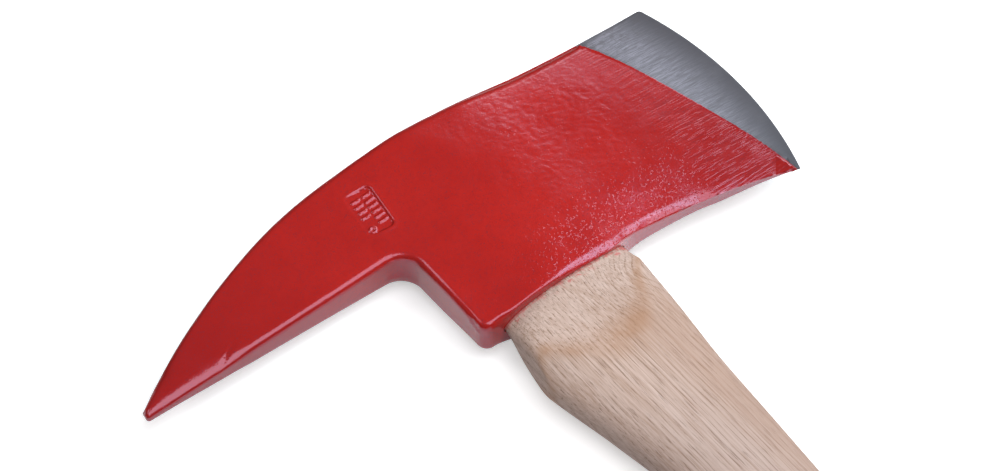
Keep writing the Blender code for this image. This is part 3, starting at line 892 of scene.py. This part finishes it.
class Shader:
    """Short ways to write a node tree. Inputs may be numbers, tuples or Values."""

    def __init__(self, data):
        self.data = data
        data.use_nodes = True
        self.tree = data.node_tree

    def fill(self, node, inputs):
        for key, value in inputs.items():
            socket = node.inputs[key]
            if isinstance(value, Value):
                self.tree.links.new(value.socket, socket)
            elif isinstance(value, tuple) and socket.type == "RGBA":
                socket.default_value = (*value, 1.0)
            else:
                socket.default_value = value

    def node(self, kind, inputs={}, output=0, **settings):
        node = self.tree.nodes.new(kind)
        for key, value in settings.items():
            setattr(node, key, value)
        self.fill(node, inputs)
        return Value(self, node.outputs[output])

    def surface(self, inputs):
        self.fill(self.tree.nodes["Principled BSDF"], inputs)
        return self.data

    def math(self, operation, first, second=0.0):
        return self.node("ShaderNodeMath", {0: first, 1: second}, operation=operation)

    def vector_math(self, operation, first, second):
        inputs = {0: first, 1: second}
        return self.node("ShaderNodeVectorMath", inputs, operation=operation)

    def mix(self, share, first, second):
        inputs = {0: share, 6: first, 7: second}
        return self.node("ShaderNodeMix", inputs, output=2, data_type="RGBA")

    def lerp(self, share, first, second):
        inputs = {0: share, 2: first, 3: second}
        return self.node("ShaderNodeMix", inputs, data_type="FLOAT")

    def split(self, vector):
        parts = self.node("ShaderNodeSeparateXYZ", {0: vector})
        return [parts.output(k) for k in range(3)]

    def position(self):
        """Object coordinates in millimetres, with the eye's mouth at y = 0."""
        coords = self.node("ShaderNodeTexCoord", output="Object")
        inputs = {"Vector": coords, "Scale": (1000, 1000, 1000), "Location": (0, -MOUTH_Y, 0)}
        return self.node("ShaderNodeMapping", inputs)

    def noise(self, pos, scale, detail, rough, stretch=None):
        """Noise; stretch scales x, y and z first, so a small factor draws it out."""
        if stretch:
            pos = self.vector_math("MULTIPLY", pos, stretch)
        inputs = {"Vector": pos, "Scale": scale, "Detail": detail, "Roughness": rough}
        return self.node("ShaderNodeTexNoise", inputs)

    def bump(self, height, depth, strength, normal=None):
        inputs = {"Strength": strength, "Distance": depth * MM, "Height": height}
        if normal:
            inputs["Normal"] = normal
        return self.node("ShaderNodeBump", inputs)


# --------------------------------------------------------------- head material
ENAMEL = dict(
    deep=(0.475, 0.0105, 0.005),
    bright=(0.53, 0.0135, 0.0065),
    # pick: painted shade, a darker red towards the pick's end
    pick=(0.36, 0.0075, 0.0045),
    # heel: painted shade, a darker red towards the heel and the lower blade
    heel=(0.28, 0.0070, 0.0045),
    # pore: painted shade, dark specks standing in for the shade in tiny pits
    pore=(0.20, 0.020, 0.030),
    haze=(0.33, 0.010, 0.010),
    # belt: painted shade in the low lines between the grinding scratches
    belt=(0.22, 0.012, 0.014),
    # rim: painted shade on the crown's rolled edge
    rim=(0.20, 0.012, 0.012),
    bounce=(0.16, 0.13, 0.13),
)
STEEL = dict(
    dark=(0.205, 0.202, 0.229),
    light=(0.41, 0.405, 0.467),
    line=(0.17, 0.167, 0.185),
    # edge: painted shade, darker steel towards the cutting edge
    edge=(0.115, 0.112, 0.126),
    cloud=(0.19, 0.187, 0.205),
    spot=(0.12, 0.108, 0.11),
    toe=(0.14, 0.127, 0.135),
)


def past_paint_line(mat, pos, x, y):
    """Signed distance past the paint line, a little ragged."""
    hundreds = y * 0.01
    line = PAINT_LINE[0]
    for coefficient in PAINT_LINE[1:]:
        line = line * hundreds + coefficient
    ragged = mat.noise(pos, scale=0.55, detail=3, rough=0.6, stretch=(0.25, 1, 1))
    return (x - line) + (ragged - 0.5) * 0.7


def enamel_relief(mat, pos, x, y, streak, grind, wall):
    peel = mat.noise(pos, scale=0.55, detail=1, rough=0.4)
    shifted = mat.vector_math("ADD", pos, (3.1, 7.7, 1.3))
    pimple = mat.noise(shifted, scale=0.80, detail=0.6, rough=0.4).ramp(0.61, 0.73)
    low = y.ramp(36, 2) * (x.ramp(-30, 14) * x.ramp(96, 80))
    # little craters and pimples, thickest low on the blade
    cell = mat.node("ShaderNodeTexVoronoi", {"Vector": pos, "Scale": 0.62})
    some = mat.noise(pos, scale=0.20, detail=2, rough=0.6).ramp(0.46, 0.58)
    crater = cell.ramp(0.08, 0.30, to=(-1, 0)) * (some * (0.22 + low * 0.42))
    grain = peel * (low * 0.16).__radd__(0.24) + pimple * (0.08 + low * 0.62)
    grain = grain + crater
    # scratches left by the belt run along x under the paint
    scratch = streak.ramp(0.46, 0.64) * y.ramp(64, 4, to=(0.13, 0.35))
    height = mat.lerp(grind, grain, scratch) * mat.lerp(wall, 1.0, 0.15)
    return mat.bump(height, depth=0.13, strength=1.0)


def enamel_colour(mat, pos, x, y, streak, grind, rim):
    tone = mat.noise(pos, scale=0.035, detail=3, rough=0.55)
    red = mat.mix(tone.ramp(0.3, 0.7), ENAMEL["deep"], ENAMEL["bright"])
    # painted shade: darker red towards the pick's tip, where less light reaches
    red = mat.mix(x.ramp(-60, -150, to=(0, 0.75)), red, ENAMEL["pick"])
    # painted shade: darker red towards the heel and the lower blade
    heel = x.ramp(40, 112) * y.ramp(90, 0, to=(0.35, 1))
    red = mat.mix(heel * 0.62, red, ENAMEL["heel"])
    # painted shade: dark specks stand in for the shade in tiny pits of the enamel
    pore = mat.noise(pos, scale=1.25, detail=2, rough=0.55)
    red = mat.mix(pore.ramp(0.59, 0.66, to=(0, 0.50)), red, ENAMEL["pore"])
    haze = mat.noise(pos, scale=0.50, detail=2, rough=0.6)
    red = mat.mix(haze.ramp(0.40, 0.70, to=(0, 0.22)), red, ENAMEL["haze"])
    # painted shade: darker streaks in the low lines between the belt's scratches, towards the
    # bit
    belt = grind * streak.ramp(0.44, 0.34, to=(0, 0.35))
    red = mat.mix(belt, red, ENAMEL["belt"])
    # painted shade: the crown's rolled rim is darkened where it turns away from the light
    red = mat.mix(rim * 0.55, red, ENAMEL["rim"])
    # bounce light off the enamel is kept from tinting the table
    bounce = mat.node("ShaderNodeLightPath", output="Is Diffuse Ray")
    return mat.mix(bounce * 0.85, red, ENAMEL["bounce"])


def ground_steel(mat, pos, x, y):
    """Colour, roughness and normal of steel with grinding lines along x."""
    fine = mat.noise(pos, scale=3.6, detail=4, rough=0.75, stretch=(0.022, 1, 0.4))
    broad = mat.noise(pos, scale=1.0, detail=3, rough=0.6, stretch=(0.04, 1, 0.4))
    steel = mat.mix(fine.ramp(0.36, 0.66), STEEL["dark"], STEEL["light"])
    steel = mat.mix(broad.ramp(0.40, 0.64, to=(0, 0.45)), steel, STEEL["line"])
    radius = mat.math("SQRT", (x - BIT_CENTRE[0]) ** 2.0 + (y - BIT_CENTRE[1]) ** 2.0)
    # painted shade: the ground steel darkens towards the cutting edge
    steel = mat.mix((BIT_RADIUS - radius).ramp(26, 0), steel, STEEL["edge"])
    cloud = mat.noise(pos, scale=0.05, detail=3, rough=0.6)
    steel = mat.mix(cloud.ramp(0.5, 0.75, to=(0, 0.25)), steel, STEEL["cloud"])
    spot = mat.noise(pos, scale=0.42, detail=2, rough=0.5)
    steel = mat.mix(spot.ramp(0.70, 0.78, to=(0, 0.45)), steel, STEEL["spot"])
    blotch = mat.noise(pos, scale=0.3, detail=3, rough=0.6)
    toe = y.ramp(76, 92) * blotch.ramp(0.5, 0.62)
    steel = mat.mix(toe * 0.35, steel, STEEL["toe"])
    normal = mat.bump(fine * 0.6 + broad * 0.5, depth=0.03, strength=0.8)
    return steel, fine.ramp(0.3, 0.7, to=(0.46, 0.58)), normal


def head_material():
    mat = Shader(bpy.data.materials.new("red_enamel_and_ground_steel"))
    pos = mat.position()
    x, y, _ = mat.split(pos)
    line = past_paint_line(mat, pos, x, y)
    bare = line.ramp(-0.1, 0.1)
    streak = mat.noise(pos, scale=1.15, detail=1, rough=0.5, stretch=(0.070, 1, 0.5))
    grind = x.ramp(74, 94)
    _, face_y, face_z = mat.split(mat.node("ShaderNodeNewGeometry", output="Normal"))
    wall = abs(face_z).ramp(0.55, 0.25)
    beard = wall * (x.ramp(4, 24) * y.ramp(16, 6))
    # the crown's rolled rim turns away from the light: painted shade darkens it, and its
    # reflection is turned down
    rim = face_y.ramp(0.16, 0.42) * y.ramp(52, 66)

    relief = enamel_relief(mat, pos, x, y, streak, grind, wall)
    red = enamel_colour(mat, pos, x, y, streak, grind, rim)
    steel, steel_rough, steel_normal = ground_steel(mat, pos, x, y)
    gloss = mat.noise(pos, scale=0.12, detail=2, rough=0.5)
    paint_rough = gloss.ramp(0.3, 0.7, to=(0.19, 0.25))
    normals = {0: bare, 4: relief, 5: steel_normal}
    normal = mat.node("ShaderNodeMix", normals, output=1, data_type="VECTOR")
    # the enamel's edge stands a hair above the steel
    step = line.ramp(-0.5, 0.15, to=(1, 0))
    normal = mat.bump(step, depth=0.05, strength=0.8, normal=normal)
    coat = mat.lerp(bare, mat.lerp(beard, 0.45, 1.0), 0.0) * mat.lerp(rim, 1.0, 0.0)
    return mat.surface({
        "Base Color": mat.mix(bare, red, steel),
        "Metallic": bare,
        "Roughness": mat.lerp(bare, paint_rough, steel_rough),
        "Specular IOR Level": mat.lerp(rim, mat.lerp(beard, 0.62, 1.0), 0.10),
        "Specular Tint": mat.mix(bare, (1.0, 0.66, 1.0), (1.0, 1.0, 1.0)),
        "Coat Weight": coat,
        "Coat Roughness": 0.09,
        "Normal": normal,
        "Coat Normal": normal,
    })


# -------------------------------------------------------------- wood materials
def timber(mat, pos, x, y, z, pale, dark, pore_colour):
    """Ring-porous timber: growth layers round a far axis, pores along the grain."""

    def grain(scale, along, rough):
        return mat.noise(pos, scale, detail=2, rough=rough, stretch=(1, along, 1))

    slow_sway = grain(scale=0.020, along=0.55, rough=0.5)
    quick_sway = grain(scale=0.10, along=0.30, rough=0.5)
    bend = (slow_sway - 0.5) * 5.0 + (quick_sway - 0.5) * 1.3
    # one swirl in the figure, on the shoulder
    swirl_x, swirl_y = (x - 19.0) * 0.066, (y + 20.0) * 0.066
    swirl = mat.math("EXPONENT", (swirl_x * swirl_x + swirl_y * swirl_y) * -1.0)
    from_x = (x + 150.0) + (bend * 0.8 + swirl * 10.0)
    from_z = ((z + 46.0) + bend) + y * -0.020
    radius = mat.math("SQRT", from_x * from_x + from_z * from_z)
    ring = mat.math("FRACT", radius * 0.46)
    early = ring.ramp(0, 0.07) * ring.ramp(0.40, 0.09)
    layer = mat.node("ShaderNodeCombineXYZ", {0: radius * 0.30})
    age = mat.noise(layer, scale=1.0, detail=2, rough=0.5)
    fibre = grain(scale=1.5, along=0.018, rough=0.6)
    strand = grain(scale=0.9, along=0.010, rough=0.6)
    fleck = grain(scale=1.6, along=0.16, rough=0.6)
    broad = grain(scale=0.11, along=0.12, rough=0.5)
    pores = grain(scale=3.0, along=0.024, rough=0.55)
    broken = early * pores.ramp(0.36, 0.58, to=(0.35, 1))
    colour = mat.mix(broken * age.ramp(0.35, 0.65, to=(0.30, 0.70)), pale, dark)
    for share, tint in (
        (strand.ramp(0.42, 0.62, to=(0, 0.34)), dark),
        (fibre.ramp(0.42, 0.64, to=(0, 0.46)), dark),
        (broad.ramp(0.42, 0.72, to=(0, 0.45)), pale),
        (fleck.ramp(0.52, 0.7, to=(0, 0.30)), pale),
    ):
        colour = mat.mix(share, colour, tint)
    pore = (pores + early * 0.09).ramp(0.61, 0.70)
    colour = mat.mix(pore * 0.60, colour, pore_colour)
    height = (fibre * 0.5 + pore * -0.9) + broken * -0.35
    return colour, height, pore


def handle_material():
    mat = Shader(bpy.data.materials.new("bare_handle_timber"))
    pos = mat.position()
    x, y, z = mat.split(pos)
    colour, height, pore = timber(
        mat, pos, x, y, z,
        pale=(0.715, 0.545, 0.472), dark=(0.44, 0.268, 0.182), pore_colour=(0.26, 0.150, 0.100),
    )
    ridge = mat.node("ShaderNodeAttribute", output="Fac", attribute_name="ridge")
    patch = mat.noise(pos, scale=0.085, detail=2, rough=0.5)
    up = y + -MOUTH_FACE
    creep = mat.noise(pos, scale=0.30, detail=3, rough=0.65, stretch=(1, 1.3, 1))
    spots = mat.noise(pos, scale=0.45, detail=2, rough=0.5)
    for share, tint in (
        # greyer and darker further down the handle
        (y.ramp(-45, -125, to=(0, 0.30)), (0.36, 0.275, 0.255)),
        # a browner band of older timber along the front
        ((x + y * 0.10).ramp(-14, 8) * y.ramp(-14, -46) * 0.56, (0.46, 0.285, 0.205)),
        # burnished shoulder ridge
        (ridge * patch.ramp(0.36, 0.60, to=(0.34, 0.60)), (0.46, 0.235, 0.12)),
        # enamel that crept onto the timber round the eye's mouth: stain, spots, rim
        (creep.ramp(0.50, 0.68) * up.ramp(-6, -0.4) * 0.50, (0.74, 0.22, 0.20)),
        (spots.ramp(0.60, 0.66) * up.ramp(-4.5, -2) * 0.7, (0.66, 0.16, 0.15)),
        (creep.ramp(0.36, 0.52) * up.ramp(-1.3, -0.3) * 0.75, (0.60, 0.12, 0.11)),
    ):
        colour = mat.mix(share, colour, tint)
    return mat.surface({
        "Base Color": colour,
        "Roughness": mat.lerp(pore, 0.58, 0.8),
        "Specular IOR Level": 0.3,
        "Normal": mat.bump(height, depth=0.09, strength=0.9),
    })


def wedge_material():
    mat = Shader(bpy.data.materials.new("wedge_hardwood"))
    pos = mat.position()
    x, y, z = mat.split(pos)
    shifted = mat.vector_math("ADD", pos, (7.0, 31.0, 3.0))
    colour, height, pore = timber(
        mat, shifted, z, x, y,
        pale=(0.47, 0.31, 0.19), dark=(0.30, 0.18, 0.10), pore_colour=(0.13, 0.07, 0.04),
    )
    return mat.surface({
        "Base Color": colour,
        "Roughness": mat.lerp(pore, 0.66, 0.85),
        "Normal": mat.bump(height, depth=0.12, strength=0.9),
    })


# ------------------------------------------------- steel wedge and floor materials
def steel_wedge_material():
    mat = Shader(bpy.data.materials.new("hammered_wedge_steel"))
    pos = mat.position()
    dull = mat.noise(pos, scale=0.7, detail=3, rough=0.6)
    rust = mat.noise(pos, scale=0.45, detail=3, rough=0.65)
    colour = mat.mix(dull.ramp(0.3, 0.7), (0.25, 0.25, 0.26), (0.42, 0.42, 0.43))
    colour = mat.mix(rust.ramp(0.6, 0.72, to=(0, 0.7)), colour, (0.16, 0.07, 0.035))
    return mat.surface({
        "Base Color": colour,
        "Metallic": rust.ramp(0.6, 0.72, to=(0.95, 0.3)),
        "Roughness": dull.ramp(0.3, 0.7, to=(0.36, 0.55)),
        "Normal": mat.bump(dull + rust, depth=0.08, strength=0.8),
    })


def floor_material():
    mat = Shader(bpy.data.materials.new("pale_floor"))
    pos = mat.node("ShaderNodeTexCoord", output="Object")
    grain = mat.noise(pos, scale=3, detail=3, rough=0.5)
    bounce = mat.node("ShaderNodeLightPath", output="Is Diffuse Ray")
    eye, glossy = bounce.output("Is Camera Ray"), bounce.output("Is Glossy Ray")
    pale = mat.mix(grain, (0.945, 0.945, 0.95), (0.965, 0.965, 0.97))
    mat.surface({
        "Base Color": mat.mix(bounce * 0.68, pale, (0.30, 0.29, 0.31)),
        "Roughness": 0.9,
        "Specular IOR Level": 0.1,
        # a lit table: plain white to the camera away from contact, and bright in
        # the enamel's undersides
        "Emission Color": (1.0, 1.0, 1.0),
        "Emission Strength": eye * 0.50 + glossy * 0.28,
    })
    # seen from below, the floor lets the camera through
    back = mat.node("ShaderNodeNewGeometry", output="Backfacing")
    table = Value(mat, mat.tree.nodes["Principled BSDF"].outputs[0])
    clear = mat.node("ShaderNodeBsdfTransparent")
    blend = mat.node("ShaderNodeMixShader", {0: back * eye, 1: table, 2: clear})
    mat.fill(mat.tree.nodes["Material Output"], {0: blend})
    return mat.data


# ----------------------------------------------------------------- put together
head = build_head()
handle = build_handle()
wedge, cross = build_wedges(handle)
dress(head, head_material(), sharp_deg=38)
dress(handle, handle_material(), sharp_deg=42)
dress(wedge, wedge_material(), sharp_deg=40)
for piece in (head, handle, wedge, *cross):
    move_vertices(piece, lambda coords: np.clip(coords, np.array(cad_lo), np.array(cad_hi)))
plates = steel_wedge_material()
for piece in cross:
    dress(piece, plates, sharp_deg=40)

for piece, node, slot in (
    (head, "axe_head", "red_paint"),
    (handle, "handle", "handle_wood"),
    (wedge, "wooden_wedge", "wedge_wood"),
    (cross[0], "steel_wedge_1", "wedge_steel"),
    (cross[1], "steel_wedge_2", "wedge_steel"),
):
    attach(piece, "root")
    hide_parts(node)

# ------------------------------------------------------ floor and light, in metres
SPIN = math.radians(38.4)  # the axe's +X, turned from the camera's right
RIGHT = Vector((math.cos(SPIN), -math.sin(SPIN), 0))
AHEAD = Vector((math.sin(SPIN), math.cos(SPIN), 0))
UP = Vector((0, 0, 1))
AIM = Vector((-7.0, 39.0 + MOUTH_Y, 0.0)) * MM


def build_floor():
    grid = bmesh.new()
    bmesh.ops.create_grid(grid, x_segments=4, y_segments=4, size=4.0)
    mesh = bpy.data.meshes.new("floor")
    grid.to_mesh(mesh)
    grid.free()
    mesh.materials.append(floor_material())
    floor = link("floor", mesh)
    floor.location = (0, 0.4, FLOOR_Z)


def softbox(name, at, size, power, colour=(1, 1, 1)):
    light = bpy.data.lights.new(name, "AREA")
    light.shape = "RECTANGLE"
    light.size, light.size_y = size
    light.energy = power
    light.color = colour
    light.spread = math.pi
    obj = link(name, light)
    obj.location = at
    obj.rotation_mode = "QUATERNION"
    obj.rotation_quaternion = (AIM - at).to_track_quat("-Z", "Y")


def toward(elevation, azimuth, distance):
    """A place seen from the axe: azimuth 0 is straight away from the camera."""
    rise, turn = math.radians(elevation), math.radians(azimuth)
    flat = AHEAD * math.cos(turn) + RIGHT * math.sin(turn)
    return AIM + (flat * math.cos(rise) + UP * math.sin(rise)) * distance


build_floor()
above = AIM + RIGHT * 0.36 + AHEAD * -0.22 + UP * 1.10
softbox("overhead", above, size=(1.1, 1.0), power=10.5, colour=(1.0, 0.985, 1.0))
# name, (elevation, azimuth, distance), size, power, colour
for name, place, size, power, colour in (
    ("far_sheen", (25, 22, 2.0), (1.3, 0.60), 8.8, (0.97, 0.97, 1.0)),
    ("right_side", (25, 75, 1.8), (0.9, 0.9), 2.0, (1.0, 0.98, 0.98)),
    ("right_lip", (49, 60, 1.3), (0.40, 0.62), 4.3, (0.66, 0.90, 1.0)),
    ("left_edge", (48, -78, 1.5), (0.5, 0.5), 2.4, (1, 1, 1)),
):
    softbox(name, toward(*place), size, power, colour)


def build_world():
    """Dim sky, a little brighter overhead, and plain white to the camera."""
    world = bpy.data.worlds.new("studio")
    sky = Shader(world)
    bpy.context.scene.world = world
    height = sky.split(sky.node("ShaderNodeTexCoord", output="Generated"))[2]
    limits = {"From Min": 0.0, "From Max": 0.8, "To Min": 0.10, "To Max": 0.17}
    glow = sky.node("ShaderNodeMapRange", {"Value": height, **limits})
    eye = sky.node("ShaderNodeLightPath", output="Is Camera Ray")
    strength = sky.lerp(eye, glow, 1.0)
    background = sky.tree.nodes["Background"]
    sky.fill(background, {"Strength": strength, "Color": (1.0, 0.98, 0.97)})


build_world()

# ------------------------------------------------------------------- camera
ELEVATION = math.radians(53.0)
DISTANCE = 1.2
VIEW_WIDTH = 0.425974026  # width seen at the aim point

cam_data = bpy.data.cameras.new("camera")
cam = link("camera", cam_data)
cam_data.sensor_width = 36.0
cam_data.lens = cam_data.sensor_width * DISTANCE / VIEW_WIDTH
cam_data.clip_start = 0.01
back_dir = -AHEAD * math.cos(ELEVATION) + UP * math.sin(ELEVATION)
cam.location = AIM + back_dir * DISTANCE
cam.rotation_mode = "QUATERNION"
cam.rotation_quaternion = (-back_dir).to_track_quat("-Z", "Y")
bpy.context.scene.camera = cam
bpy.context.scene.view_settings.view_transform = "Standard"
